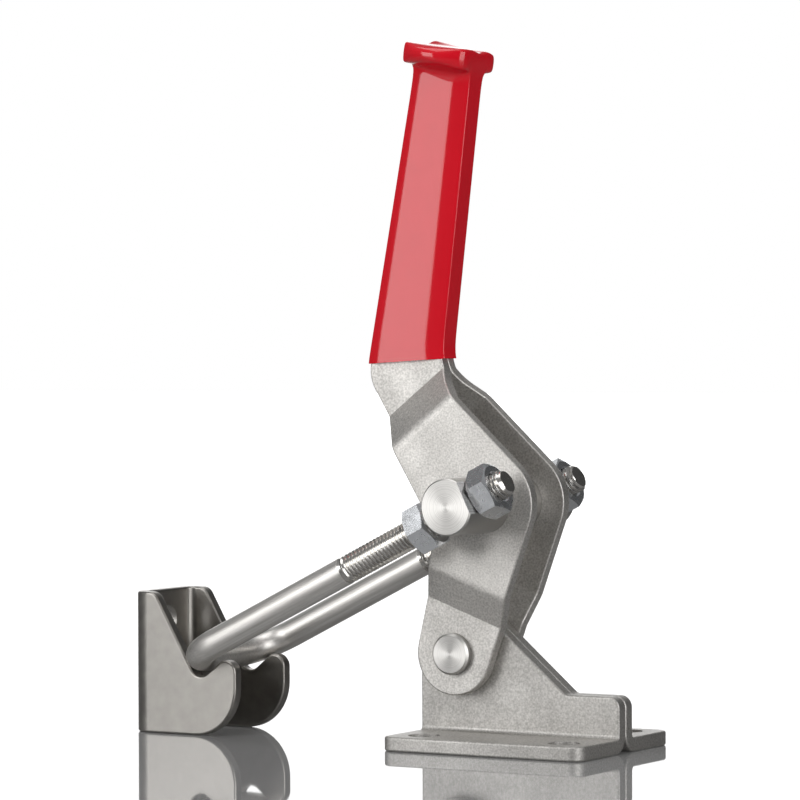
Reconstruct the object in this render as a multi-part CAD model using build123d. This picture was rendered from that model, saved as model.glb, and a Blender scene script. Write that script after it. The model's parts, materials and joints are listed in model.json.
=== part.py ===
"""Latch toggle clamp: bolt-down base, upright handle with a dipped grip, U-bolt hook and a catch plate.

Millimetres. The origin is the centre of the base's bolt pattern, on the surface that it bolts to.
+X runs away from the catch, +Y across the clamp and +Z up. Left is the -Y side, right the +Y side.
"""

from build123d import *
from math import asin, atan, atan2, cos, degrees, radians, sin, tan
import os

# --- base: two folded plates, back to back ---
BASE_SHEET = 4.0
BASE_BEND = 1.2             # inner radius of the fold
FOOT_LENGTH = 62.0
FOOT_REACH = 26.75          # middle plane to the outer edge of a foot
FOOT_CORNER = 3.7
BOLT_PITCH_X = 43.5
BOLT_PITCH_Y = 37.0
BOLT_HOLE = 8.8
WALL_ROUND = 12.45          # wall's rounding about the pivot
SHELF_HEIGHT = 15.5
SHELF_CORNER = 3.2
SHELF_FILLET = 2.0
SLOPE_ANGLE = 40.6
SLOPE_OFFSET = 13.7         # pivot axis to the sloping edge
SLOPE_TIP = 3.0
BASE_EDGE = 0.6             # tumbled edge

# --- pivot pin ---
PIVOT_HEIGHT = 25.76
PIN_D = 11.5
PIN_PROUD = 2.15            # stands out of each handle boss
PIN_CHAMFER = 0.6
PIN_FIT = 0.05

# --- handle: two folded plates ---
HANDLE_SHEET = 3.5
HANDLE_BEND_SHARP = 0.7     # inner radius where a flare starts as a crease
HANDLE_BEND_SOFT = 2.0      # inner radius where it ends
HANDLE_EDGE = 0.45
SIDE_CLEARANCE = 0.25       # base wall to handle boss
BOSS_R = 11.5
WAIST_STEP = 3.25           # boss to waist, outwards
WAIST_CREASE = 20.0         # crease, degrees below level
WAIST_CREASE_REACH = 12.1   # pivot axis to the crease
WAIST_FLARE = 8.8
HUB_R = 14.65               # handle's rounding about the trunnion
HUB_X = 11.95               # trunnion axis from the pivot axis
HUB_Z = 41.64
FLARE_LINE = 38.2           # upper crease, degrees above level
FLARE_LINE_X = -14.55       # a point of that crease from the pivot
FLARE_LINE_Z = 71.84
FLARE_LENGTH = 10.1
WAIST_LEAN = 13.0           # left edge over the boss, from upright
SHOULDER_LEAN = 47.3        # right shoulder, from upright
BACK_LEAN = 31.0            # left shoulder, from upright
BACK_X = -8.85              # a point of the left shoulder from the pivot
BACK_Z = 41.94
WAIST_ROUND = 9.0
BACK_ROUND = 10.0
NECK_ROUND = 14.0

# --- grip: tangs, turned-out tops and the dipped cover ---
GRIP_TILT = 8.74            # grip axis, from upright
GRIP_X = -17.45             # foot of the grip axis from the pivot
GRIP_Z = 81.74
TANG_FOOT = 21.7            # tang width at the foot of the grip axis
TANG_HEAD = 16.0            # tang width under the turned-out tops
HEAD_HEIGHT = 86.2          # grip axis, foot to the top face of the steel
HEAD_REACH = 11.2           # middle plane to the end of a turned-out top
HEAD_BEND = 2.0
HEAD_CORNER = 5.0
VINYL = 1.2                 # cover over the flat faces
VINYL_EDGE = 0.9            # cover over the sheet's edges
COVER_ROUND = 1.4
HEAD_ROUND = 2.6
HEAD_LIP = 1.55             # vinyl pooled at each side of the turned-out tops
HEAD_SLIDE = -0.55          # that lip's middle from the grip axis
DIP_LINE = 3.4              # cover's lower end, degrees from level
DIP_DROP = 0.9              # grip axis foot down to that end, less at the middle

# --- trunnion ---
TRUNNION_D = 15.5
TRUNNION_LENGTH = 59.8
TRUNNION_FIT = 0.05
TRUNNION_SLIDE = -2.7       # the trunnion stands this far to the left
TRUNNION_CHAMFER = 0.4
FLAT_SEAT = 6.1             # axis to the outer nuts' seats
FLAT_START = 13.0           # middle of the trunnion to the start of a flat

# --- U-bolt and nuts ---
ROD_D = 8.0
ROD_FIT = 0.1               # rod in its cross hole, per side
LEG_PITCH = 41.0
LEG_ANGLE = 26.42           # legs, degrees above level
LEG_LENGTH = 101.5          # trunnion axis to crossbar axis
LEG_PROUD = 15.6            # trunnion axis to the threaded end
ROD_BEND = 12.0             # centreline radius
ROD_CHAMFER = 0.8
NUT_FLATS = 13.0
NUT_HEIGHT = 6.5
NUT_FACE = 0.95             # bearing circle, share of the width over flats
NUT_CHAMFER = 0.7
NUT_FIT = 0.04
NUT_MOUTH = 0.5
INNER_NUT_STAND = 9.65      # trunnion axis to the inner nuts, which aren't run up tight
OUTER_LEFT_TURN = -15.0     # a corner of each nut from -Y, seen from its leg's far end
INNER_LEFT_TURN = -10.5
RIGHT_NUT_TURN = 30.0

# --- catch ---
CATCH_SHEET = 3.5
CATCH_BEND = 2.4
CATCH_WIDTH = 29.5
CATCH_HEIGHT = 40.5
CATCH_SIDE = -0.6           # middle of the catch from the middle plane
CATCH_BACK = 24.1           # crossbar axis back to the web's outer face
CATCH_NOSE = 12.0           # crossbar axis forward to the tip of the hook
CATCH_TOP = 14.5            # crossbar axis back to the start of the wall's top
HEEL_ROUND = 13.8
NOSE_ROUND = 3.7
HOOK_ROUND = 2.0
NOSE_TOP = 0.5              # crossbar axis down to the top of the hook
BACK_FLANK = 60.0           # notch's sides, degrees above level
HOOK_FLANK = 39.0
FLANK_GAP = 0.35            # crossbar to the back flank
HOOK_GAP = 1.0              # crossbar to the hook flank
NOTCH_ROUND = 3.5
TIP_ROUND = 3.5
CATCH_EDGE = 0.7
SCREW_HOLE = 8.5
SCREW_PITCH = 21.5
SCREW_LOW = 10.0

# --- worked out ---
FAR = 200.0                 # longer than any blank that is cut from it
TOUCH = 1e-3                # closer than this is the same place
CORNER_TURN = 15.0          # faces that meet at less than this run smoothly on
ALONG_ANGLE = 25.0          # an edge within this of a direction runs along it
PIVOT_X = WALL_ROUND - FOOT_LENGTH / 2
TRUNNION_X = PIVOT_X + HUB_X
TRUNNION_Z = PIVOT_HEIGHT + HUB_Z
LEG = Vector(cos(radians(LEG_ANGLE)), 0, sin(radians(LEG_ANGLE)))
TRUNNION = Vector(TRUNNION_X, TRUNNION_SLIDE, TRUNNION_Z)
BAR = TRUNNION - LEG * LEG_LENGTH
BOSS_INNER = BASE_SHEET + SIDE_CLEARANCE
WAIST_INNER = BOSS_INNER + WAIST_STEP


def along(angle):
    """Unit vector in a drawing plane, `angle` degrees from its first axis."""
    return Vector(cos(radians(angle)), sin(radians(angle)))


def corner_of(first, second):
    """Point where two lines meet, each given as (point on it, direction in degrees)."""
    (point, angle), (other, other_angle) = first, second
    direction, other_direction = along(angle), along(other_angle)
    gap = Vector(*other) - Vector(*point)
    reach = gap.cross(other_direction).Z / direction.cross(other_direction).Z
    return Vector(*point) + direction * reach


def rounded_face(corners):
    """Face inside a closed run of straight sides; each corner is (point, radius)."""
    points = [Vector(*point) for point, _ in corners]
    starts, ends, middles = [], [], []
    for index, (point, radius) in enumerate(zip(points, [radius for _, radius in corners])):
        back = (points[index - 1] - point).normalized()
        ahead = (points[(index + 1) % len(points)] - point).normalized()
        half = radians(back.get_angle(ahead)) / 2
        starts.append(point + back * (radius / tan(half)))
        ends.append(point + ahead * (radius / tan(half)))
        middles.append(point + (back + ahead).normalized() * (radius / sin(half) - radius))
    edges = []
    for index, (_, radius) in enumerate(corners):
        if radius:
            edges.append(Edge.make_three_point_arc(starts[index], middles[index], ends[index]))
        following = starts[(index + 1) % len(points)]
        if (following - ends[index]).length > TOUCH:
            edges.append(Edge.make_line(ends[index], following))
    return Face(Wire(edges))


def outline(sides):
    """Face from its sides in order; each is (point, direction, radius at its start)."""
    lines = [(point, angle) for point, angle, _ in sides]
    corners = [(corner_of(lines[i - 1], lines[i]), side[2]) for i, side in enumerate(sides)]
    return rounded_face(corners)


def sheet_section(path, sheet, bends):
    """Section of a folded sheet: `path` is its right-hand face, `bends` the inner fold radii."""
    points = [Vector(*point) for point in path]
    turns = [(b - a).normalized() for a, b in zip(points, points[1:])]
    left = [Vector(-turn.Y, turn.X) for turn in turns]
    face, back = [(points[0], 0)], [(points[0] + left[0] * sheet, 0)]
    for index, bend in enumerate(bends):
        before, after = left[index], left[index + 1]
        mitre = (before + after) * (sheet / (1 + before.dot(after)))
        outer = turns[index].cross(turns[index + 1]).Z > 0
        face.append((points[index + 1], bend + sheet if outer else bend))
        back.append((points[index + 1] + mitre, bend if outer else bend + sheet))
    face.append((points[-1], 0))
    back.append((points[-1] + left[-1] * sheet, 0))
    return rounded_face(face + back[::-1])


def upright_plane(x, z, angle):
    """Plane whose first axis runs `angle` degrees above +X and whose second is +Y."""
    direction = along(angle)
    return Plane((x, 0, z), x_dir=(direction.X, 0, direction.Y), z_dir=(-direction.Y, 0, direction.X))


def side_prism(face, x=0.0, z=0.0, half_width=FAR):
    """Solid of a side outline drawn about (x, z), as deep as asked each way along Y."""
    return extrude(Plane((x, 0, z), x_dir=(1, 0, 0), z_dir=(0, -1, 0)) * face, half_width, both=True)


def sharp_edges(solid):
    """Edges where two faces meet at a corner, which leaves out the tangent lines of folds and rounds."""
    faces = [(face, face.edges()) for face in solid.faces()]
    found = ShapeList()
    for edge in solid.edges():
        middle = edge @ 0.5
        normals = [face.normal_at(middle) for face, edges in faces if any(edge.is_same(e) for e in edges)]
        if len(normals) == 2 and normals[0].get_angle(normals[1]) > CORNER_TURN:
            found.append(edge)
    return found


def eased(solid, radius):
    """The solid with every corner edge rounded."""
    return fillet(sharp_edges(solid), radius)


def y_hole(x, z, radius):
    """Round cutter along Y."""
    return Pos(x, 0, z) * Rot(90, 0, 0) * Cylinder(radius, FAR)


def base_plate():
    """Left base plate: foot, fold and upright wall."""
    wall_top = PIVOT_HEIGHT + WALL_ROUND
    section = sheet_section([(-FOOT_REACH, 0), (0, 0), (0, wall_top)], BASE_SHEET, [BASE_BEND])
    blank = extrude(Plane.YZ * section, FOOT_LENGTH / 2, both=True)
    slope_point = Vector(PIVOT_X, PIVOT_HEIGHT) + along(90 - SLOPE_ANGLE) * SLOPE_OFFSET
    wall = outline([
        ((0, 0), 0, 0),
        ((FOOT_LENGTH / 2, 0), 90, 0),
        ((0, SHELF_HEIGHT), 180, SHELF_CORNER),
        (tuple(slope_point)[:2], 180 - SLOPE_ANGLE, SHELF_FILLET),
        ((0, wall_top), 180, SLOPE_TIP),
        ((-FOOT_LENGTH / 2, 0), 270, WALL_ROUND),
    ])
    foot = outline([
        ((0, -FOOT_REACH), 0, FOOT_CORNER),
        ((FOOT_LENGTH / 2, 0), 90, FOOT_CORNER),
        ((0, 0), 180, 0),
        ((-FOOT_LENGTH / 2, 0), 270, 0),
    ])
    plate = blank & side_prism(wall) & extrude(foot, wall_top, dir=(0, 0, 1))
    plate = eased(plate, BASE_EDGE)
    for x in (-BOLT_PITCH_X / 2, BOLT_PITCH_X / 2):
        plate -= Pos(x, -BOLT_PITCH_Y / 2, 0) * Cylinder(BOLT_HOLE / 2, FAR)
    return plate - y_hole(PIVOT_X, PIVOT_HEIGHT, PIN_D / 2 + PIN_FIT)


def pivot_pin():
    """Turned pin through both handle bosses and both base walls."""
    length = 2 * (BOSS_INNER + HANDLE_SHEET + PIN_PROUD)
    pin = Pos(PIVOT_X, 0, PIVOT_HEIGHT) * Rot(90, 0, 0) * Cylinder(PIN_D / 2, length)
    return chamfer(pin.edges().filter_by(GeomType.CIRCLE), PIN_CHAMFER)


def handle_outline(grow=0.0):
    """Side outline of a handle plate about the pivot axis, grown outwards all round."""
    hub = Vector(HUB_X, HUB_Z)
    tangent = degrees(atan2(HUB_X, HUB_Z) + asin((HUB_R - BOSS_R) / hub.length))
    axis = along(90 - GRIP_TILT)
    across = along(-GRIP_TILT)
    foot = Vector(GRIP_X, GRIP_Z)
    head = foot + axis * HEAD_HEIGHT
    taper = degrees(atan((TANG_FOOT - TANG_HEAD) / 2 / HEAD_HEIGHT))
    sides = [
        (Vector(0, -BOSS_R), 0, BOSS_R),
        (along(-tangent) * BOSS_R, 90 - tangent, BOSS_R),
        (hub + along(SHOULDER_LEAN) * HUB_R, 90 + SHOULDER_LEAN, HUB_R),
        (foot + across * (TANG_FOOT / 2), 90 - GRIP_TILT + taper, -NECK_ROUND),
        (head, 180 - GRIP_TILT, 0),
        (foot - across * (TANG_FOOT / 2), 270 - GRIP_TILT - taper, 0),
        (Vector(BACK_X, BACK_Z), BACK_LEAN - 90, BACK_ROUND),
        (along(180 - WAIST_LEAN) * BOSS_R, 270 - WAIST_LEAN, -WAIST_ROUND),
    ]
    grown = []
    for point, angle, radius in sides:
        outwards = along(angle - 90) * grow
        grown.append((tuple(point + outwards)[:2], angle, abs(radius + grow) if radius else 0))
    return outline(grown)


def handle_strip(x, z, angle, path, bends):
    """Long folded strip whose folds cross the handle; `path` runs down the sheet's inner face."""
    section = sheet_section(path, HANDLE_SHEET, bends)
    return extrude(upright_plane(PIVOT_X + x, PIVOT_HEIGHT + z, angle) * section, FAR, both=True)


def level_band(low, high):
    """Block between two heights over the pivot axis."""
    return Pos(0, 0, PIVOT_HEIGHT + (low + high) / 2) * Box(2 * FAR, 2 * FAR, high - low)


def handle_plate():
    """Left handle plate: boss, waist, flare, tang and turned-out top."""
    flare = atan(WAIST_INNER / FLARE_LENGTH)
    shift = HANDLE_SHEET * tan(flare / 2)
    upper = handle_strip(FLARE_LINE_X, FLARE_LINE_Z, FLARE_LINE - 90, [
        (FAR, -WAIST_INNER),
        (shift + FLARE_LENGTH, -WAIST_INNER),
        (shift, 0),
        (-FAR, 0),
    ], [HANDLE_BEND_SOFT, HANDLE_BEND_SHARP])
    crease = along(270 - WAIST_CREASE)
    step = atan(WAIST_STEP / WAIST_FLARE)
    crease_shift = HANDLE_SHEET * tan(step / 2)
    lower = handle_strip(-crease.X * WAIST_CREASE_REACH, -crease.Y * WAIST_CREASE_REACH, 270 - WAIST_CREASE, [
        (FAR, -BOSS_INNER),
        (-crease_shift, -BOSS_INNER),
        (-crease_shift - WAIST_FLARE, -WAIST_INNER),
        (-FAR, -WAIST_INNER),
    ], [HANDLE_BEND_SHARP, HANDLE_BEND_SOFT])
    head = handle_strip(GRIP_X, GRIP_Z, 90 - GRIP_TILT, [
        (HEAD_HEIGHT, -HEAD_REACH),
        (HEAD_HEIGHT, 0),
        (-FAR, 0),
    ], [HEAD_BEND])
    waist_cut = HUB_Z - HUB_R
    tang_cut = GRIP_Z + HEAD_HEIGHT / 2
    blank = (lower & level_band(-FAR, waist_cut)) + (upper & level_band(waist_cut, tang_cut))
    blank += head & level_band(tang_cut, FAR)
    plate = blank & side_prism(handle_outline(), PIVOT_X, PIVOT_HEIGHT)
    plate = fillet([edge for edge in plate.edges() if is_head_corner(edge)], HEAD_CORNER)
    plate = eased(plate, HANDLE_EDGE)
    plate -= y_hole(TRUNNION_X, TRUNNION_Z, TRUNNION_D / 2 + TRUNNION_FIT)
    return plate - y_hole(PIVOT_X, PIVOT_HEIGHT, PIN_D / 2 + PIN_FIT)


def runs_along(edge, axis):
    """Whether an edge runs along an axis, either way, and not across it."""
    off = (edge % 0.5).get_angle(axis)
    return min(off, 180 - off) < ALONG_ANGLE


def is_head_corner(edge):
    """Whether an edge is an upright corner at the end of a turned-out top."""
    return runs_along(edge, grip_axis()) and abs(abs(edge.center().Y) - HEAD_REACH) < TOUCH


def grip_plane(height):
    """Plane across the grip axis, `height` up from its foot."""
    axis = grip_axis()
    foot = (PIVOT_X + GRIP_X, 0, PIVOT_HEIGHT + GRIP_Z)
    return Plane(foot, x_dir=(axis.Z, 0, -axis.X), z_dir=axis).offset(height)


def handle_grip(plates):
    """Dipped vinyl cover: the plates' outline grown by the vinyl, less the plates themselves."""
    side = HANDLE_SHEET + VINYL
    top = HEAD_HEIGHT + VINYL
    underside = HEAD_HEIGHT - HANDLE_SHEET - VINYL
    dip = Plane((PIVOT_X + GRIP_X, 0, PIVOT_HEIGHT + GRIP_Z - DIP_DROP), x_dir=(0, 1, 0),
                z_dir=(-sin(radians(DIP_LINE)), 0, cos(radians(DIP_LINE))))
    above_dip = extrude(dip * Rectangle(2 * FAR, 2 * FAR), FAR)
    body = side_prism(handle_outline(VINYL_EDGE), PIVOT_X, PIVOT_HEIGHT, side)
    rims = [edge for edge in body.edges() if not runs_along(edge, Vector(0, 1, 0))]
    body = fillet(rims, COVER_ROUND) & above_dip
    body &= extrude(grip_plane((top + underside) / 2) * Rectangle(FAR, FAR), -FAR)
    width = TANG_HEAD + 2 * (VINYL_EDGE + HEAD_LIP)
    plan = RectangleRounded(width, 2 * (HEAD_REACH + VINYL), HEAD_CORNER + VINYL)
    head = extrude(grip_plane(underside) * Pos(HEAD_SLIDE, 0) * plan, top - underside)
    head = fillet([edge for edge in head.edges() if not runs_along(edge, grip_axis())], HEAD_ROUND)
    return body + head - plates[0] - plates[1]


def grip_axis():
    """Direction of the grip, from its foot to its head."""
    axis = along(90 - GRIP_TILT)
    return Vector(axis.X, 0, axis.Y)


def trunnion():
    """Turned cross shaft with a milled seat under each outer nut and two cross holes."""
    shaft = Pos(*TRUNNION) * Rot(90, 0, 0) * Cylinder(TRUNNION_D / 2, TRUNNION_LENGTH)
    shaft = chamfer(shaft.edges().filter_by(GeomType.CIRCLE), TRUNNION_CHAMFER)
    flat_length = TRUNNION_LENGTH / 2 - FLAT_START
    for end in (-1, 1):
        middle = TRUNNION + Vector(0, end * (FLAT_START + flat_length / 2 + TRUNNION_D / 2), 0)
        plane = Plane(middle + LEG * FLAT_SEAT, x_dir=(0, 1, 0), z_dir=LEG)
        shaft -= extrude(plane * Rectangle(flat_length + TRUNNION_D, 2 * TRUNNION_D), TRUNNION_D)
        hole = Plane(TRUNNION + Vector(0, end * LEG_PITCH / 2, 0), x_dir=(0, 1, 0), z_dir=LEG)
        shaft -= hole * Cylinder(ROD_D / 2 + ROD_FIT, 2 * TRUNNION_D)
    return shaft


def u_bolt():
    """Bent round rod: two legs through the trunnion and the crossbar that hooks the catch."""
    across = Vector(0, LEG_PITCH / 2, 0)
    left_end = TRUNNION + LEG * LEG_PROUD - across
    right_end = TRUNNION + LEG * LEG_PROUD + across
    path = FilletPolyline(left_end, BAR - across, BAR + across, right_end, radius=ROD_BEND)
    rod = sweep(Plane(left_end, x_dir=(0, 1, 0), z_dir=-LEG) * Circle(ROD_D / 2), path)
    ends = [edge for edge in rod.edges() if (edge.center() - TRUNNION).dot(LEG) > LEG_PROUD - TOUCH]
    return chamfer(ends, ROD_CHAMFER)


def nut(side, way, stand, turn):
    """Chamfered hexagon nut on a leg, `stand` from the trunnion axis; `way` is +1 above it and -1 below."""
    bore = ROD_D / 2 + NUT_FIT
    corner = NUT_FLATS / 2 / cos(radians(30))
    bearing = NUT_FLATS / 2 * NUT_FACE
    turned = Polyline(
        (bore + NUT_MOUTH, 0), (bearing, 0), (corner, NUT_CHAMFER), (corner, NUT_HEIGHT - NUT_CHAMFER),
        (bearing, NUT_HEIGHT), (bore + NUT_MOUTH, NUT_HEIGHT), (bore, NUT_HEIGHT - NUT_MOUTH),
        (bore, NUT_MOUTH), close=True)
    ring = revolve(Plane.XZ * make_face(turned))
    hexagon = extrude(RegularPolygon(NUT_FLATS / 2, 6, major_radius=False, rotation=turn), NUT_HEIGHT)
    foot = TRUNNION + Vector(0, side * LEG_PITCH / 2, 0) + LEG * (way * stand)
    return Plane(foot, x_dir=(0, -1, 0), z_dir=LEG * way) * (ring & hexagon)


def catch_plate():
    """Folded channel with a hooked wall on each side and two screw holes in its web."""
    back = BAR.X - CATCH_BACK
    nose = BAR.X + CATCH_NOSE
    half = CATCH_WIDTH / 2
    section = sheet_section([(nose, -half), (back, -half), (back, half), (nose, half)][::-1],
                            CATCH_SHEET, [CATCH_BEND, CATCH_BEND])
    blank = extrude(section, CATCH_HEIGHT, dir=(0, 0, 1))
    bar = Vector(BAR.X, BAR.Z)
    back_side = bar + along(270 - BACK_FLANK) * (ROD_D / 2 + FLANK_GAP)
    hook_side = bar + along(HOOK_FLANK - 90) * (ROD_D / 2 + HOOK_GAP)
    wall = outline([
        ((0, 0), 0, 0),
        ((nose, 0), 90, HEEL_ROUND),
        ((0, BAR.Z - NOSE_TOP), 180, NOSE_ROUND),
        (tuple(hook_side)[:2], 180 + HOOK_FLANK, HOOK_ROUND),
        (tuple(back_side)[:2], 180 - BACK_FLANK, NOTCH_ROUND),
        ((0, CATCH_HEIGHT), 180, TIP_ROUND),
        ((back, 0), 270, 0),
    ])
    catch = eased(blank & side_prism(wall), CATCH_EDGE)
    for height in (SCREW_LOW, SCREW_LOW + SCREW_PITCH):
        catch -= Pos(back, 0, height) * Rot(0, 90, 0) * Cylinder(SCREW_HOLE / 2, 4 * CATCH_SHEET)
    return Pos(0, CATCH_SIDE, 0) * catch


def mirrored(piece):
    """The piece's mirror image on the other side of the middle plane."""
    return mirror(piece, Plane.XZ)


BASE = base_plate()
HANDLE = handle_plate()
PIECES = {
    "base_plate_left": BASE,
    "base_plate_right": mirrored(BASE),
    "pivot_pin": pivot_pin(),
    "handle_plate_left": HANDLE,
    "handle_plate_right": mirrored(HANDLE),
    "handle_grip": handle_grip([HANDLE, mirrored(HANDLE)]),
    "trunnion": trunnion(),
    "u_bolt": u_bolt(),
    "outer_nut_left": nut(-1, 1, FLAT_SEAT, OUTER_LEFT_TURN),
    "inner_nut_left": nut(-1, -1, INNER_NUT_STAND, INNER_LEFT_TURN),
    "outer_nut_right": nut(1, 1, FLAT_SEAT, RIGHT_NUT_TURN),
    "inner_nut_right": nut(1, -1, INNER_NUT_STAND, RIGHT_NUT_TURN),
    "catch_plate": catch_plate(),
}

os.makedirs("parts", exist_ok=True)
for name, piece in PIECES.items():
    piece.label = name
    export_step(piece, f"parts/{name}.step")
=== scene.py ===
# %% [markdown]
# # A latch toggle clamp, dressed for display
#
# The clamp is a small workshop tool: a folded steel base, a long double handle with a red dipped
# grip, a U-bolt that rides in a cross shaft, and a catch that the U-bolt hooks. Its solids arrive
# ready made and in place, so this lesson only does what a maker's finish does. It cuts the threads,
# dips the grip, blasts, turns and polishes the metal, and sets the clamp on a studio floor.

# %% Load the frame
import bpy
import bmesh
import json
from math import atan2, cos, degrees, hypot, pi, radians, sin
from mathutils import Matrix, Vector


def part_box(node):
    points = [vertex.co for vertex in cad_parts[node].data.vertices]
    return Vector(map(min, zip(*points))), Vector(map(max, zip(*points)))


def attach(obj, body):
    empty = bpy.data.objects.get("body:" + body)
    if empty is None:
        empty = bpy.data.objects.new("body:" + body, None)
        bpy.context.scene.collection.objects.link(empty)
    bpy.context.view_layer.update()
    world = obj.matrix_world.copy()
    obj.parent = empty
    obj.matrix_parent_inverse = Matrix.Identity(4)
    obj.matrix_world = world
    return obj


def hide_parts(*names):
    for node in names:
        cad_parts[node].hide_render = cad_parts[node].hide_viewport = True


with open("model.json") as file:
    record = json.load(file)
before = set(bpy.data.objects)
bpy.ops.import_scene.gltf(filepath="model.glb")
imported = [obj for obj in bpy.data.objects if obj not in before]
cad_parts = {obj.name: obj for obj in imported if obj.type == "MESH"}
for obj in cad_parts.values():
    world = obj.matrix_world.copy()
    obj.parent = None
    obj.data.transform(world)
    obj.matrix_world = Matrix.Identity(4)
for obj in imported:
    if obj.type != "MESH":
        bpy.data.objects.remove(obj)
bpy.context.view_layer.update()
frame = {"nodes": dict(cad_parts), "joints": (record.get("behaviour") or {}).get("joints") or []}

MM = 0.001
nodes = frame["nodes"]

# %% [markdown]
# ## Places to work from
#
# A finish has to sit on the real pieces, so its places are read from the frame and not typed in.
# Each joint gives a point and an axis, and each solid gives its box. The U-bolt's legs run from
# the middle of its crossbar to the middle of the cross shaft, which is the axis that it swings on.

# %% Measure the clamp
ROD_D = 8.0 * MM


def joint_point(name):
    """Place of a joint's axis, in metres."""
    joint = next(joint for joint in frame["joints"] if joint["name"] == name)
    return Vector(joint["pos_m"])


PIVOT = joint_point("handle_pivot")
SHAFT = joint_point("hook_swing")
hook_low, hook_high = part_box("u_bolt")
BAR = Vector((hook_low.x + ROD_D / 2, SHAFT.y, hook_low.z + ROD_D / 2))
LEG_PITCH = hook_high.y - hook_low.y - ROD_D
LEG_LENGTH = (SHAFT - BAR).length
LEG_ANGLE = atan2(SHAFT.z - BAR.z, SHAFT.x - BAR.x)
print("legs", round(LEG_LENGTH / MM, 1), "mm long, at", round(degrees(LEG_ANGLE), 2), "degrees")

# %% [markdown]
# ## Handling meshes as by hand
#
# Every tool in edit mode acts on what is selected, and freshly loaded solids arrive selected. So a
# piece is always opened with nothing selected, and faces or edges are picked by where they lie.
# When a piece is finished, its place goes into its mesh, so that its object stays at the origin.

# %% Helpers for edit mode
NEAR = MM / 100             # closer than this is the same place
HAIR = MM / 1000            # doubles closer than this are merged


def deselect_all():
    """Nothing is selected and no piece is open."""
    if bpy.context.object and bpy.context.object.mode == "EDIT":
        bpy.ops.object.mode_set(mode="OBJECT")
    bpy.ops.object.select_all(action="DESELECT")


def open_piece(piece, mode="VERT"):
    """Opens one piece in edit mode with nothing of it selected."""
    deselect_all()
    bpy.context.view_layer.objects.active = piece
    piece.select_set(True)
    bpy.ops.object.mode_set(mode="EDIT")
    bpy.ops.mesh.select_mode(type=mode)
    bpy.ops.mesh.select_all(action="DESELECT")


def pick(piece, kind, test):
    """Selects the open piece's verts, edges or faces that pass a test, and counts them."""
    shape = bmesh.from_edit_mesh(piece.data)
    for item in getattr(shape, kind):
        item.select_set(bool(test(item)))
    shape.select_flush_mode()
    bmesh.update_edit_mesh(piece.data)
    return sum(item.select for item in getattr(shape, kind))


def settle(piece):
    """Puts the piece's place, turn and scale into its mesh."""
    deselect_all()
    bpy.context.view_layer.objects.active = piece
    piece.select_set(True)
    bpy.ops.object.transform_apply(location=True, rotation=True, scale=True)


def apply_modifier(piece, kind, **settings):
    """Adds a modifier with these settings and applies it."""
    modifier = piece.modifiers.new(kind.title(), kind)
    for name, value in settings.items():
        setattr(modifier, name, value)
    deselect_all()
    bpy.context.view_layer.objects.active = piece
    piece.select_set(True)
    bpy.ops.object.modifier_apply(modifier=modifier.name)


def smooth(piece, angle):
    """Shades the piece smooth, with a crisp line where faces meet at more than this angle."""
    deselect_all()
    bpy.context.view_layer.objects.active = piece
    piece.select_set(True)
    bpy.ops.object.shade_smooth_by_angle(angle=radians(angle))


def triangles(piece):
    """How many triangles the piece's mesh has."""
    return sum(len(face.vertices) - 2 for face in piece.data.polygons)


print("helpers ready")

# %% [markdown]
# ## The U-bolt
#
# The hook is one drawn steel rod, bent twice and threaded at both ends. A pipe along a curve would
# give the rod but no thread, and a bump map would leave the thread's outline smooth. So the rod is
# drawn out as a smith would do it: a ring is extruded along the crossbar, spun round the bend and
# extruded down the leg, and a mirror gives the other side. It is made in its own frame, with +X
# along the legs and the cross shaft's axis at the origin.

# %% Bend the rod
ROD_SIDES = 48
ROD_BEND = 12.0 * MM
BEND_STEPS = 14
THREAD_GAP = 0.8 * MM       # left between rod and thread, to be bridged
THREAD_STARTS = {-1: -41.5 * MM, 1: -39.6 * MM}    # from the shaft's axis, by side


def bent_rod():
    """Plain part of the U-bolt, open at both ends."""
    straight = LEG_PITCH / 2 - ROD_BEND
    bpy.ops.mesh.primitive_circle_add(
        vertices=ROD_SIDES, radius=ROD_D / 2, location=(-LEG_LENGTH, 0, 0), rotation=(pi / 2, 0, 0))
    rod = bpy.context.object
    rod.name = "threaded_u_bolt"
    rod.data.materials.append(bpy.data.materials.new("drawn_rod"))
    settle(rod)
    open_piece(rod)
    bpy.ops.mesh.select_all(action="SELECT")
    bpy.ops.mesh.extrude_region_move(TRANSFORM_OT_translate={"value": (0, straight, 0)})
    bpy.ops.mesh.spin(steps=BEND_STEPS, angle=pi / 2, center=(ROD_BEND - LEG_LENGTH, straight, 0),
                      axis=(0, 0, 1))
    leg = LEG_LENGTH - ROD_BEND + THREAD_STARTS[1] - THREAD_GAP
    bpy.ops.mesh.extrude_region_move(TRANSFORM_OT_translate={"value": (leg, 0, 0)})
    deselect_all()
    apply_modifier(rod, "MIRROR", use_axis=(False, True, False), merge_threshold=NEAR)
    open_piece(rod)
    end = THREAD_STARTS[1] - THREAD_GAP
    pick(rod, "verts", lambda vert: vert.co.x > end - NEAR and vert.co.y < 0)
    bpy.ops.transform.translate(value=(THREAD_STARTS[-1] - THREAD_STARTS[1], 0, 0))
    deselect_all()
    return rod


u_bolt = bent_rod()
print("bent rod:", [round(size / MM, 1) for size in u_bolt.dimensions])

# %% [markdown]
# A rolled thread is one small profile carried round and along the rod. The profile is a single
# edge, cut into root, flank, crest and flank, and the Screw modifier carries it one pitch forward
# for every turn. Bisect then trims both ends square. Where the thread runs out, its root rises to
# the plain rod's size, and at the tip the crests are turned down to a small chamfer.

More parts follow.
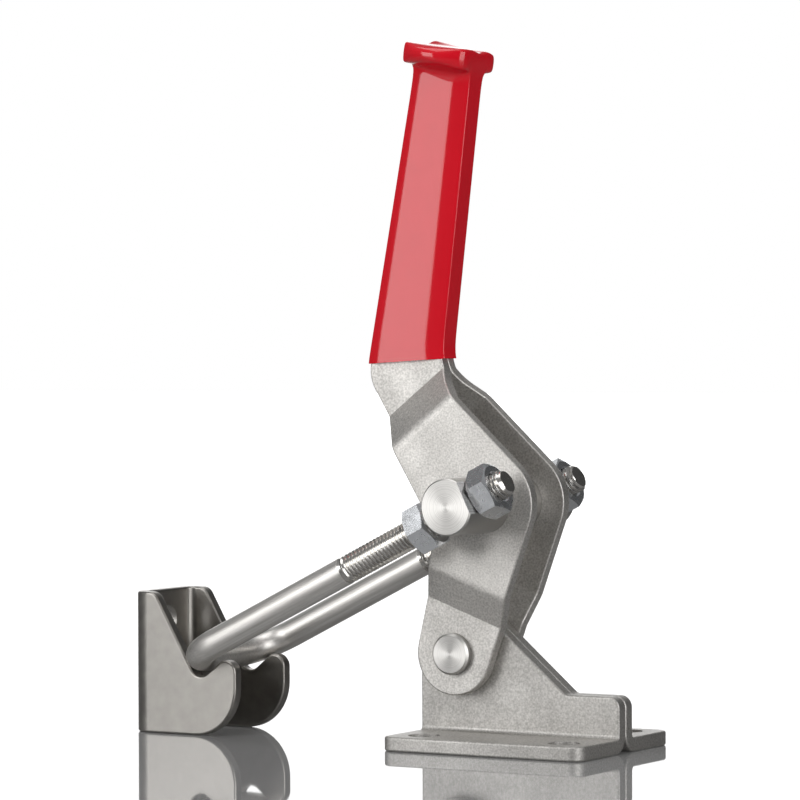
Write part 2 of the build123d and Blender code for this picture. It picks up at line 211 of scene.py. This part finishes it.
# %% Cut the threads
PITCH = 1.25 * MM
THREAD_DEPTH = 0.66 * MM
CREST_DROP = 0.06 * MM
RUN_OUT = 2.2 * PITCH
TIP_CHAMFER = 0.9 * MM
SPARE_TURNS = 3             # made beyond both ends, and trimmed off
TIP = max((vert.co - SHAFT).dot((SHAFT - BAR).normalized()) for vert in nodes["u_bolt"].data.vertices)
CREST_R = ROD_D / 2 - CREST_DROP
ROOT_R = ROD_D / 2 - THREAD_DEPTH
PROFILE = [(0.0, ROOT_R), (0.2, ROOT_R), (0.52, CREST_R), (0.68, CREST_R), (1.0, ROOT_R)]


def thread_profile():
    """One pitch of thread, as a chain of edges from root to root."""
    bpy.ops.mesh.primitive_plane_add(size=PITCH)
    strip = bpy.context.object
    open_piece(strip)
    pick(strip, "verts", lambda vert: vert.co.y > 0)
    bpy.ops.mesh.delete(type="VERT")
    bpy.ops.mesh.select_all(action="SELECT")
    bpy.ops.mesh.subdivide(number_cuts=len(PROFILE) - 2)
    deselect_all()
    chain = sorted(strip.data.vertices, key=lambda vert: vert.co.x)
    for vert, (share, radius) in zip(chain, PROFILE):
        vert.co = (share * PITCH, radius, 0)
    return strip


def eased_radius(x, radius, start):
    """Radius of a point on the thread, with the run-out and the tip's chamfer."""
    rise = max(0.0, 1 - (x - start) / RUN_OUT)
    root = ROOT_R + (ROD_D / 2 - ROOT_R) * rise
    chamfer = ROD_D / 2 - TIP_CHAMFER + (TIP - x)
    return min(max(radius, root), chamfer)


def threaded_leg(side):
    """Threaded end of one leg, open where it meets the rod and closed at its tip."""
    start = THREAD_STARTS[side]
    turns = int((TIP - start) / PITCH) + SPARE_TURNS
    leg = thread_profile()
    leg.name = f"leg_{side}"
    finish = bpy.data.materials.get("rolled_thread") or bpy.data.materials.new("rolled_thread")
    leg.data.materials.append(finish)
    apply_modifier(leg, "SCREW", axis="X", screw_offset=PITCH, iterations=turns, steps=ROD_SIDES,
                   render_steps=ROD_SIDES)
    leg.location = (start - PITCH, side * LEG_PITCH / 2, 0)
    settle(leg)
    open_piece(leg)
    bpy.ops.mesh.select_all(action="SELECT")
    bpy.ops.mesh.remove_doubles(threshold=HAIR)
    deselect_all()
    for cut, sign, fill in ((start, -1, False), (TIP, 1, True)):
        open_piece(leg)
        bpy.ops.mesh.select_all(action="SELECT")
        bpy.ops.mesh.bisect(plane_co=(cut, 0, 0), plane_no=(sign, 0, 0), clear_outer=True,
                            use_fill=fill)
        deselect_all()
    for vert in leg.data.vertices:
        radius = hypot(vert.co.y - side * LEG_PITCH / 2, vert.co.z)
        scale = eased_radius(vert.co.x, radius, start) / radius
        vert.co.y = side * LEG_PITCH / 2 + (vert.co.y - side * LEG_PITCH / 2) * scale
        vert.co.z *= scale
    return leg


legs = {side: threaded_leg(side) for side in THREAD_STARTS}
print("thread:", triangles(legs[-1]), "triangles, tip at", round(TIP / MM, 2), "mm")

# %% [markdown]
# The three lengths are joined, and each gap between rod and thread is bridged, so that the U-bolt
# is one closed skin. Then it is turned to the angle of the legs and moved to the cross shaft.

# %% Join the U-bolt


def join_hook(rod, ends):
    """One closed U-bolt out of the rod and its threaded ends."""
    deselect_all()
    for piece in (rod, *ends.values()):
        piece.select_set(True)
    bpy.context.view_layer.objects.active = rod
    bpy.ops.object.join()
    for side, start in THREAD_STARTS.items():
        open_piece(rod, "EDGE")
        found = pick(rod, "edges", lambda edge: edge.is_boundary and edge.verts[0].co.y * side > 0
                     and abs(edge.verts[0].co.x - start) < 2 * THREAD_GAP)
        bpy.ops.mesh.bridge_edge_loops()
        print("bridged", found, "edges on side", side)
    bpy.ops.mesh.select_all(action="SELECT")
    bpy.ops.mesh.normals_make_consistent(inside=False)
    deselect_all()
    rod.matrix_world = Matrix.Translation(SHAFT) @ Matrix.Rotation(-LEG_ANGLE, 4, "Y")
    settle(rod)
    smooth(rod, 30)


join_hook(u_bolt, legs)
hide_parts("u_bolt")
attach(u_bolt, "hook")
print("U-bolt:", triangles(u_bolt), "triangles")

# %% [markdown]
# ## The grip
#
# The grip is a sleeve of vinyl over two tangs whose tops turn outwards, so it is a long flat bar
# with a T for a head. Liquid vinyl leaves no sharp edge anywhere, which makes this a job for the
# Subdivision Surface modifier: a coarse cage is shaped, and the modifier rounds it. Rows of the cage
# stand close together where the skin should turn quickly, and far apart where it should stay flat.

# %% Cut the grip's cage
GRIP_FOOT = PIVOT + Vector((-17.45, 0.0, 81.74)) * MM      # where the grip's axis starts
GRIP_TILT = radians(8.74)
GRIP_PLACE = Matrix.Translation(GRIP_FOOT) @ Matrix.Rotation(GRIP_TILT, 4, "Y")
NECK_ROW, UNDERSIDE_ROW = 78.4, 81.5            # mm up the grip
NECK, UNDERSIDE = NECK_ROW * MM, UNDERSIDE_ROW * MM
GRIP_LOW, GRIP_TOP = -8.0 * MM, 87.4 * MM
GRIP_HALF = 4.7 * MM        # middle plane to the flat faces
CAGE_HALF = 10.0 * MM       # the cage's half width, before it takes the plates' shape
ROWS = (-3.5, -0.5, 2.5, 6, 12, 19.5, 22.7, 26, 34, 43, 52, 60.2, 63.5, 67, 73, NECK_ROW,
        UNDERSIDE_ROW, 84.45)                   # mm up the grip
COLUMN_DROPS = {-1.0: 1.0, -0.9: 0.55, -0.74: 0.2, -0.5: 0.0, 0.1: 0.0, 0.42: 0.08, 0.62: 0.36,
                0.82: 0.8, 1.0: 1.2}    # share of the half width: mm that the flat face falls away
LEVELS = (-2.9, 0.0, 2.9)   # mm from the middle plane
LOBE_STEPS = (3.6, 4.6)     # mm, outwards
LOBE_FRONT = 12 * MM        # corners further out than this are a lobe's front
LOBE_HALF = 8.2 * MM        # half width of that front
LOBE_BULGE = 23.4 * MM      # twice the radius that it bulges to


def grip_cage():
    """Block with its rows, its columns and the two lobes of its head."""
    height = GRIP_TOP - GRIP_LOW
    bpy.ops.mesh.primitive_cube_add(size=1, location=(0, 0, GRIP_LOW + height / 2),
                                    scale=(2 * CAGE_HALF, 2 * GRIP_HALF, height))
    cage = bpy.context.object
    cage.name = "dipped_grip"
    settle(cage)
    open_piece(cage)
    cuts = [((0, 0, row * MM), (0, 0, 1)) for row in ROWS]
    cuts += [((share * CAGE_HALF, 0, 0), (1, 0, 0)) for share in COLUMN_DROPS if abs(share) < 1]
    cuts += [((0, level * MM, 0), (0, 1, 0)) for level in LEVELS]
    for place, normal in cuts:
        bpy.ops.mesh.select_all(action="SELECT")
        bpy.ops.mesh.bisect(plane_co=place, plane_no=normal)
    deselect_all()
    for side in (-1, 1):
        open_piece(cage, "FACE")
        pick(cage, "faces", lambda face: face.calc_center_median().z > UNDERSIDE
             and face.calc_center_median().y * side > GRIP_HALF - NEAR)
        for step in LOBE_STEPS:
            bpy.ops.mesh.extrude_region_move(TRANSFORM_OT_translate={"value": (0, side * step * MM, 0)})
        deselect_all()
    return cage


grip = grip_cage()
print("cage:", len(grip.data.polygons), "faces")

# %% [markdown]
# The cage then takes its shape row by row. Each row is as wide as the steel plate at that height,
# and the skin beyond it, so the sleeve can't stray from the metal. The flat faces fall away towards
# their edges as surface tension pulled them, most on the right. Under the lobes the skin sags into
# a shallow bowl, and the far lobe stands a little higher than the near one.

# %% Shape and smooth the grip
EDGE_SKIN = 0.9 * MM
HEAD_SPAN = (-11.0 * MM, 9.9 * MM)
BOWL_DEPTH, BOWL_MIDDLE = 3.05, 2.9             # mm
BOWL_LEFT, BOWL_RIGHT = 0.0216, 0.0707          # how fast it rises to each side
BOWL_RIM = 0.5                                  # mm deep, where it runs out
BOWL_OUT, BOWL_UP = 1.1, 0.9                    # mm, at the middle
END_EASE = 0.8 * MM
WAIST_SPAN = (-9.7 * MM, 9.3 * MM)
FAR_LIFT, FAR_FALL = 0.45, 0.11                 # mm, and mm lower per mm to the right
TOP_GROOVE = 0.9 * MM
DIP_TILT = radians(12.14)
DIP_NORMAL = Vector((-sin(DIP_TILT), 0, cos(DIP_TILT)))
DIP_POINT = Vector((0.14, 0, -0.89)) * MM
DIMPLES = ((-1.4, 63.5), (-2.8, 22.7))          # mm, left by the spot welds below
DIMPLE_R, DIMPLE_DEPTH = 3.6 * MM, 0.1 * MM


def plate_span(height):
    """Left and right edge of the steel plate at a height up the grip."""
    into_grip = GRIP_PLACE.inverted()
    plate = nodes["handle_plate_left"].data
    places = [into_grip @ vert.co for vert in plate.vertices]
    found = []
    for edge in plate.edges:
        low, high = sorted((places[index] for index in edge.vertices), key=lambda place: place.z)
        if low.z < height < high.z:
            found.append(low.x + (high.x - low.x) * (height - low.z) / (high.z - low.z))
    return min(found) - EDGE_SKIN, max(found) + EDGE_SKIN


def drop_at(share):
    """How far the flat face falls away at a share of the half width, in metres."""
    nearest = min(COLUMN_DROPS, key=lambda column: abs(column - share))
    return COLUMN_DROPS[nearest] * MM


def bowl_depth(across):
    """How deep the bowl under a lobe is, in mm, at a place across the grip."""
    rise = BOWL_LEFT if across < BOWL_MIDDLE else BOWL_RIGHT
    return max(BOWL_RIM, BOWL_DEPTH - rise * (across - BOWL_MIDDLE) ** 2)


def shape_cage(cage):
    """Gives every corner of the cage its own place."""
    spans = {}
    for vert in cage.data.vertices:
        share, out, side = vert.co.x / CAGE_HALF, abs(vert.co.y), (1 if vert.co.y > 0 else -1)
        height = vert.co.z
        head = height > UNDERSIDE - NEAR
        underside = abs(height - UNDERSIDE) < NEAR
        if round(height, 6) not in spans:
            spans[round(height, 6)] = HEAD_SPAN if head else plate_span(height + HAIR)
        left, right = spans[round(height, 6)]
        if underside and out < GRIP_HALF + NEAR:
            left, right = WAIST_SPAN
        if out > LOBE_FRONT:
            left, right = (left + right) / 2 - LOBE_HALF, (left + right) / 2 + LOBE_HALF
            vert.co.y -= side * (share * LOBE_HALF) ** 2 / LOBE_BULGE
        vert.co.x = (left + right) / 2 + share * (right - left) / 2
        across = vert.co.x / MM
        depth = bowl_depth(across)
        if underside and abs(out - GRIP_HALF) < NEAR:
            vert.co.y += side * BOWL_OUT * depth / BOWL_DEPTH * MM
            vert.co.z -= BOWL_UP * depth / BOWL_DEPTH * MM
        if head and out > LOBE_FRONT and abs(height - (UNDERSIDE + GRIP_TOP) / 2) > MM:
            vert.co.y -= side * END_EASE
            vert.co.z += END_EASE if underside else -END_EASE
        if not head and out > GRIP_HALF - NEAR:
            vert.co.y -= side * drop_at(share)
            if abs(height - NECK) < NEAR:
                vert.co.z = UNDERSIDE - depth * MM
        if head and height > UNDERSIDE + MM:
            if vert.co.y > GRIP_HALF:
                vert.co.z += (FAR_LIFT - FAR_FALL * across) * MM
            if height > GRIP_TOP - NEAR and out < MM:
                vert.co.z -= TOP_GROOVE


def press_dimples(piece):
    """Two faint hollows in the near face, each a smooth dip within its radius."""
    for vert in piece.data.vertices:
        for x, z in DIMPLES:
            away = hypot(vert.co.x - x * MM, vert.co.z - z * MM) / DIMPLE_R
            if away < 1 and vert.co.y < -GRIP_HALF / 2:
                vert.co.y += DIMPLE_DEPTH * (1 + cos(pi * away)) / 2


shape_cage(grip)
apply_modifier(grip, "SUBSURF", levels=3, render_levels=3)
press_dimples(grip)
open_piece(grip)
bpy.ops.mesh.select_all(action="SELECT")
bpy.ops.mesh.bisect(plane_co=DIP_POINT, plane_no=-DIP_NORMAL, clear_outer=True, use_fill=True)
deselect_all()
grip.matrix_world = GRIP_PLACE
settle(grip)
smooth(grip, 40)
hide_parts("handle_grip")
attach(grip, "handle")
print("grip:", triangles(grip), "triangles")

# %% [markdown]
# ## Finishes
#
# Every finish here is steel or vinyl, so one Principled shader does for each. Its fixed numbers
# sit on its own sockets, and only what changes over the surface comes through nodes: the grain of
# the blasting, the drag of the polishing belt, the rings of the lathe. All patterns read object
# coordinates, in metres, so a scale of 1000 means one grain a millimetre.

# %% Helpers for finishes


def add(tree, kind, sockets=None, **settings):
    """Adds a node; a socket is given a value or another node's output."""
    node = tree.nodes.new("ShaderNode" + kind)
    for name, value in settings.items():
        setattr(node, name, value)
    for name, value in (sockets or {}).items():
        if isinstance(value, bpy.types.NodeSocket):
            tree.links.new(value, node.inputs[name])
        else:
            node.inputs[name].default_value = value
    return node


def new_finish(name, **sockets):
    """A material with one Principled shader, whose sockets are set by name."""
    material = bpy.data.materials.new(name)
    material.use_nodes = True
    shader = material.node_tree.nodes["Principled BSDF"]
    for socket, value in sockets.items():
        shader.inputs[socket.replace("_", " ")].default_value = value
    return material, material.node_tree, shader


def noise(tree, scale, detail=2.0, stretch=(1, 1, 1), turn=0.0):
    """Noise in object coordinates, stretched along axes turned about Y; gives its factor."""
    place = add(tree, "TexCoord")
    spread = add(tree, "Mapping", {"Vector": place.outputs["Object"], "Rotation": (0, turn, 0),
                                   "Scale": stretch}, vector_type="TEXTURE")
    made = add(tree, "TexNoise", {"Vector": spread.outputs[0], "Scale": scale, "Detail": detail})
    return made.outputs["Fac"]


def ranged(tree, value, low, high, start=0.3, end=0.7):
    """A factor carried from start..end to low..high."""
    made = add(tree, "MapRange", {"Value": value, "From Min": start, "From Max": end,
                                  "To Min": low, "To Max": high})
    return made.outputs[0]


def shade_between(tree, value, dark, light):
    """A colour between two, by a factor."""
    made = add(tree, "Mix", {"Factor": value}, data_type="RGBA")
    made.inputs["A"].default_value = (*dark, 1)
    made.inputs["B"].default_value = (*light, 1)
    return made.outputs["Result"]


def bumped(tree, shader, height, strength, distance):
    """Puts a bump of this height on the shader."""
    made = add(tree, "Bump", {"Height": height, "Strength": strength, "Distance": distance})
    tree.links.new(made.outputs["Normal"], shader.inputs["Normal"])


def colour(tree, shader, value, dark, light):
    """Colours the shader between two shades, by a factor."""
    tree.links.new(shade_between(tree, value, dark, light), shader.inputs["Base Color"])


def dress(material, *names):
    """Gives solids of the frame this finish."""
    for name in names:
        for slot in nodes[name].material_slots:
            slot.material = material
    print(material.name, "on", ", ".join(names))


print("finish helpers ready")

# %% [markdown]
# ### Blasted plate
#
# The base and the handle are stainless sheet, blasted after bending. Blasting leaves thousands of
# tiny dents, so the plate reads as soft grey with a fine sparkle, and it mirrors nothing. A high
# roughness gives the softness, a fine noise as colour and bump gives the sparkle, and a coarse one
# lets the roughness drift.

# %% Blast the plates
STEEL_DARK = (0.52, 0.505, 0.48)
STEEL_LIGHT = (0.80, 0.78, 0.75)
BASE_PAINTED_SHADE = 0.82           # painted shade: the base is drawn a little darker than the handle
GRAIN, CLOUD = 1900, 90     # noise scales: the dents, and the drift of the blasting


def blasted_plate(name, shade):
    """Bead-blasted stainless sheet, darkened by a factor; below 1 the factor is painted shade."""
    material, tree, shader = new_finish(name, Metallic=1.0)
    grain = noise(tree, GRAIN, 2.0)
    cloud = noise(tree, CLOUD, 3.0)
    dark, light = ([part * shade for part in steel] for steel in (STEEL_DARK, STEEL_LIGHT))
    colour(tree, shader, ranged(tree, grain, 0, 1), dark, light)
    tree.links.new(ranged(tree, cloud, 0.48, 0.58), shader.inputs["Roughness"])
    bumped(tree, shader, grain, 0.5, 0.05 * MM)
    return material


dress(blasted_plate("blasted_handle", 1.0), "handle_plate_left", "handle_plate_right")
# the base wears a darker copy of the same finish, as painted shade
dress(blasted_plate("blasted_base", BASE_PAINTED_SHADE), "base_plate_left", "base_plate_right")

# %% [markdown]
# ### Turned ends
#
# The pivot pin and the cross shaft are turned on a lathe, and their faces carry fine rings. Rings
# spread a highlight across themselves, which makes the bright bow tie that turns as you walk past.
# An anisotropic gloss with a tangent that runs round the axis does that without drawing each ring.

# %% Turn the pin and the shaft
RING_PITCH = 0.22 * MM
TURNED_DARK, TURNED_LIGHT = (0.42, 0.41, 0.395), (0.60, 0.59, 0.57)


def turned_steel(name, axis_point):
    """Turned stainless: sheen across the rings, and the rings themselves very faint."""
    material, tree, shader = new_finish(name, Metallic=1.0, Roughness=0.32, Anisotropic=0.8)
    round_axis = add(tree, "Tangent", direction_type="RADIAL", axis="Y")
    tree.links.new(round_axis.outputs[0], shader.inputs["Tangent"])
    place = add(tree, "TexCoord")
    centred = add(tree, "Mapping", {"Vector": place.outputs["Object"], "Location": -axis_point})
    apart = add(tree, "SeparateXYZ", {"Vector": centred.outputs[0]})
    flat = add(tree, "CombineXYZ", {"X": apart.outputs["X"], "Y": apart.outputs["Z"]})
    radius = add(tree, "VectorMath", {0: flat.outputs[0]}, operation="LENGTH")
    drift = add(tree, "Math", {0: radius.outputs["Value"], 1: 1 / RING_PITCH}, operation="MULTIPLY")
    rings = add(tree, "TexNoise", {"W": drift.outputs[0], "Scale": 1.0, "Detail": 2.0},
                noise_dimensions="1D")
    colour(tree, shader, ranged(tree, rings.outputs["Fac"], 0, 1), TURNED_DARK, TURNED_LIGHT)
    bumped(tree, shader, rings.outputs["Fac"], 0.2, 0.02 * MM)
    return material


dress(turned_steel("turned_pin", PIVOT), "pivot_pin")
dress(turned_steel("turned_shaft", SHAFT), "trunnion")

# %% [markdown]
# ### Drawn rod, nuts and catch
#
# The rod keeps fine lines along its length from the drawing die, the nuts are machined bright and
# bluish, and the catch is smoother than the plates and a little warm. The rod's noise is stretched
# along the legs. A mapping of the Texture kind turns the pattern first and stretches it after, so
# the lines lie along the rod; the Point kind would stretch along the world's axes.

# %% Finish the rod, the nuts and the catch
LINE_STRETCH = (30, 1, 1)
DRAWN_DARK, DRAWN_LIGHT = (0.70, 0.68, 0.65), (0.88, 0.86, 0.83)
NUT_DARK, NUT_LIGHT = (0.80, 0.82, 0.85), (0.90, 0.92, 0.95)
CATCH_DARK, CATCH_LIGHT = (0.34, 0.325, 0.305), (0.40, 0.385, 0.36)


def drawn_rod():
    """Drawn stainless rod, satin along its length."""
    material, tree, shader = new_finish("drawn_rod", Metallic=1.0)
    lines = noise(tree, 1600, 3.0, LINE_STRETCH, -LEG_ANGLE)
    colour(tree, shader, ranged(tree, lines, 0, 1), DRAWN_DARK, DRAWN_LIGHT)
    tree.links.new(ranged(tree, lines, 0.38, 0.46), shader.inputs["Roughness"])
    bumped(tree, shader, lines, 0.06, 0.02 * MM)
    return material


def rolled_thread():
    """Rolled thread, burnished by the dies."""
    material, tree, shader = new_finish("rolled_thread", Metallic=1.0, Roughness=0.2)
    colour(tree, shader, noise(tree, 300, 2.0), STEEL_DARK, STEEL_LIGHT)
    return material


def bright_nut():
    """Machined nut with a faint drag of the tool."""
    material, tree, shader = new_finish("bright_nut", Metallic=1.0)
    drag = noise(tree, 500, 3.0)
    colour(tree, shader, drag, NUT_DARK, NUT_LIGHT)
    tree.links.new(ranged(tree, drag, 0.2, 0.3), shader.inputs["Roughness"])
    bumped(tree, shader, drag, 0.04, 0.03 * MM)
    return material


def satin_catch():
    """Tumbled sheet with a soft, slightly warm shine."""
    material, tree, shader = new_finish("satin_catch", Metallic=1.0)
    wipe = noise(tree, 260, 4.0)
    grain = noise(tree, 1500, 2.0)
    colour(tree, shader, ranged(tree, wipe, 0, 1), CATCH_DARK, CATCH_LIGHT)
    tree.links.new(ranged(tree, wipe, 0.30, 0.38), shader.inputs["Roughness"])
    bumped(tree, shader, grain, 0.2, 0.03 * MM)
    return material


for slot, finish in zip(u_bolt.material_slots, (drawn_rod(), rolled_thread())):
    slot.material = finish
dress(bright_nut(), "outer_nut_left", "outer_nut_right", "inner_nut_left", "inner_nut_right")
dress(satin_catch(), "catch_plate")

# %% [markdown]
# ### Dipped vinyl
#
# The grip was dipped hot in liquid vinyl, which set to a glossy skin. Its red comes from the
# pigment inside, and its gloss lies on top, so the base is a plain dielectric with low roughness.
# A slow noise in the bump gives the skin the slight waviness that bends its reflections.

# %% Dip the grip
VINYL_RED = (0.77, 0.005, 0.019)
VINYL_DEEP = (0.70, 0.004, 0.015)


def red_vinyl():
    """Glossy red dipped vinyl."""
    material, tree, shader = new_finish("red_vinyl", Roughness=0.1, IOR=1.54, Specular_IOR_Level=0.56)
    colour(tree, shader, noise(tree, 120, 2.0), VINYL_DEEP, VINYL_RED)
    bumped(tree, shader, noise(tree, 160, 1.0), 0.25, 0.02 * MM)
    return material


grip.data.materials.append(red_vinyl())
print(grip.name, "wears", grip.data.materials[0].name)

# %% [markdown]
# ## The studio
#
# Bright metal shows mostly what stands around it, so the studio is planned from its reflections.
# The camera comes first: a long lens from far away, low and to the right. From there the near faces
# of the clamp look left, so the big soft box will stand left, where they mirror it.

# %% Camera
FOCAL = 173.74              # mm, on the sensor's full width
SENSOR = 36.0               # mm
CAMERA_PLACE = Vector((511.84, -932.10, 112.81)) * MM
CAMERA_TURN = 30.623        # degrees about Z, from looking along +Y
CAMERA_TILT = -0.905        # degrees above level
CAMERA_ROLL = -0.242        # degrees about the line of sight
CLIP_END = 20               # metres


def place_camera():
    """Long-lens camera, low and to the right."""
    camera = bpy.data.objects.new("camera", bpy.data.cameras.new("camera"))
    bpy.context.scene.collection.objects.link(camera)
    camera.data.sensor_width = SENSOR
    camera.data.lens = FOCAL
    camera.data.clip_end = CLIP_END
    camera.matrix_world = (
        Matrix.Translation(CAMERA_PLACE)
        @ Matrix.Rotation(radians(CAMERA_TURN), 4, "Z")
        @ Matrix.Rotation(radians(90 + CAMERA_TILT), 4, "X")
        @ Matrix.Rotation(radians(CAMERA_ROLL), 4, "Z"))
    bpy.context.scene.camera = camera
    return camera


camera = place_camera()
print("camera", [round(value, 3) for value in camera.location])

# %% [markdown]
# ### The floor
#
# The floor is a polished sheet, which mirrors the clamp's feet and takes its shadow. White paint
# would drown that mirror image, so the paint is a middle grey with a clear gloss. Seen at a low
# angle it turns white, because it mirrors the bright card of the room behind the clamp. From behind
# or above it stays grey. A little brightness of its own is added for Camera Rays only.

# %% Floor
FLOOR_SIZE = 12.0
FLOOR_DROP = 0.05 * MM      # below the clamp's feet
FLOOR_GREY = 0.34
FLOOR_LIFT = 0.02           # own brightness of the floor in the picture


def lay_floor():
    """Polished grey floor that keeps the clamp's shadow and mirrors it at a low angle."""
    bpy.ops.mesh.primitive_plane_add(size=FLOOR_SIZE, location=(0, 0, -FLOOR_DROP))
    floor = bpy.context.object
    floor.name = "floor"
    material, tree, shader = new_finish(
        "floor", Base_Color=(FLOOR_GREY, FLOOR_GREY, FLOOR_GREY, 1), Roughness=0.03, IOR=1.5)
    rays = add(tree, "LightPath")
    seen = add(tree, "Math", {0: rays.outputs["Is Camera Ray"], 1: FLOOR_LIFT}, operation="MULTIPLY")
    glow = add(tree, "Emission", {"Strength": seen.outputs[0]})
    both = add(tree, "AddShader", {0: shader.outputs[0], 1: glow.outputs[0]})
    tree.links.new(both.outputs[0], tree.nodes["Material Output"].inputs["Surface"])
    floor.data.materials.append(material)
    print("floor", FLOOR_SIZE, "m wide")


lay_floor()

# %% [markdown]
# ### The room
#
# Behind the clamp the eye sees plain white, and the metal should see a room instead: dark for the
# most part, with a bright card behind the clamp, a faint glow in front and a little light from
# above. Each glow is a smooth patch around one direction, and the three are added up. Light Path
# then gives the Camera Rays white and every other ray the room.

# %% Room light
ROOM_DARK = 0.06            # brightness where nothing glows
ROOM_FRONT = 0.1
ROOM_CARD = 1.75
ROOM_TOP = 0.25
TOWARDS_CARD = Vector((-0.51, 0.86, 0.0))
TOWARDS_FRONT = Vector((-0.62, -0.78, 0.1))
UPWARDS = Vector((0, 0, 1))


def glow_towards(tree, direction, near, far, strength):
    """Brightness that rises smoothly around a direction of the room."""
    place = add(tree, "TexCoord")
    along = add(tree, "VectorMath", {0: place.outputs["Generated"], 1: direction},
                operation="DOT_PRODUCT")
    made = add(tree, "MapRange", {"Value": along.outputs["Value"], "From Min": far, "From Max": near,
                                  "To Min": 0.0, "To Max": strength}, interpolation_type="SMOOTHSTEP")
    return made.outputs[0]


def light_room():
    """White behind the clamp for the eye, and a shaped grey room for light and reflections."""
    world = bpy.data.worlds.new("studio")
    bpy.context.scene.world = world
    world.use_nodes = True
    tree = world.node_tree
    total = None
    for direction, near, far, strength in (
            (TOWARDS_FRONT, 0.95, 0.2, ROOM_FRONT), (TOWARDS_CARD, 0.97, 0.8, ROOM_CARD),
            (UPWARDS, 1.0, 0.3, ROOM_TOP)):
        glow = glow_towards(tree, direction, near, far, strength)
        made = add(tree, "Math", {0: glow, 1: ROOM_DARK if total is None else total}, operation="ADD")
        total = made.outputs[0]
    room = add(tree, "Background", {"Strength": total})
    white = add(tree, "Background", {"Color": (1, 1, 1, 1), "Strength": 1.0})
    room.inputs["Color"].default_value = (1, 1, 1, 1)
    rays = add(tree, "LightPath")
    mix = add(tree, "MixShader",
              {0: rays.outputs["Is Camera Ray"], 1: room.outputs[0], 2: white.outputs[0]})
    tree.links.new(mix.outputs[0], tree.nodes["World Output"].inputs["Surface"])
    print("room lit with", len(tree.nodes), "nodes")


light_room()

# %% [markdown]
# ### Soft boxes
#
# A soft box is a lamp as wide as a window, so its reflection is a broad, even patch. The key box
# stands to the left at the height of the grip and draws the pale panel down the vinyl, and a second
# one above it carries that panel up to the head. A large one lights the sides that face right, and
# the last hangs overhead. The camera sees none of them.

# %% Soft boxes


def soft_box(name, place, aim, width, height, watts):
    """Rectangular area light at a place, facing a point."""
    lamp = bpy.data.lights.new(name, "AREA")
    lamp.shape = "RECTANGLE"
    lamp.size, lamp.size_y = width, height
    lamp.energy = watts
    box = bpy.data.objects.new(name, lamp)
    box.visible_camera = False
    bpy.context.scene.collection.objects.link(box)
    facing = (Vector(aim) - Vector(place)).to_track_quat("-Z", "Y")
    box.matrix_world = Matrix.Translation(place) @ facing.to_matrix().to_4x4()
    print(name, watts, "W")


soft_box("key_box", place=(-0.386, -0.608, 0.285), aim=(-0.03, 0.0, 0.285),
         width=0.34, height=0.50, watts=1.8)
soft_box("key_top", place=(-0.386, -0.608, 0.40), aim=(-0.03, 0.0, 0.40),
         width=0.34, height=0.34, watts=0.6)
soft_box("right_box", place=(0.88, -0.50, 0.33), aim=(-0.03, 0.0, 0.12),
         width=0.8, height=0.8, watts=6.0)
soft_box("top_box", place=(-0.15, -0.10, 0.95), aim=(-0.03, 0.0, 0.1),
         width=0.7, height=0.5, watts=2.0)

# %% [markdown]
# ## View
#
# The Standard view shows each colour about as it is written.

# %% View
bpy.context.scene.view_settings.view_transform = "Standard"
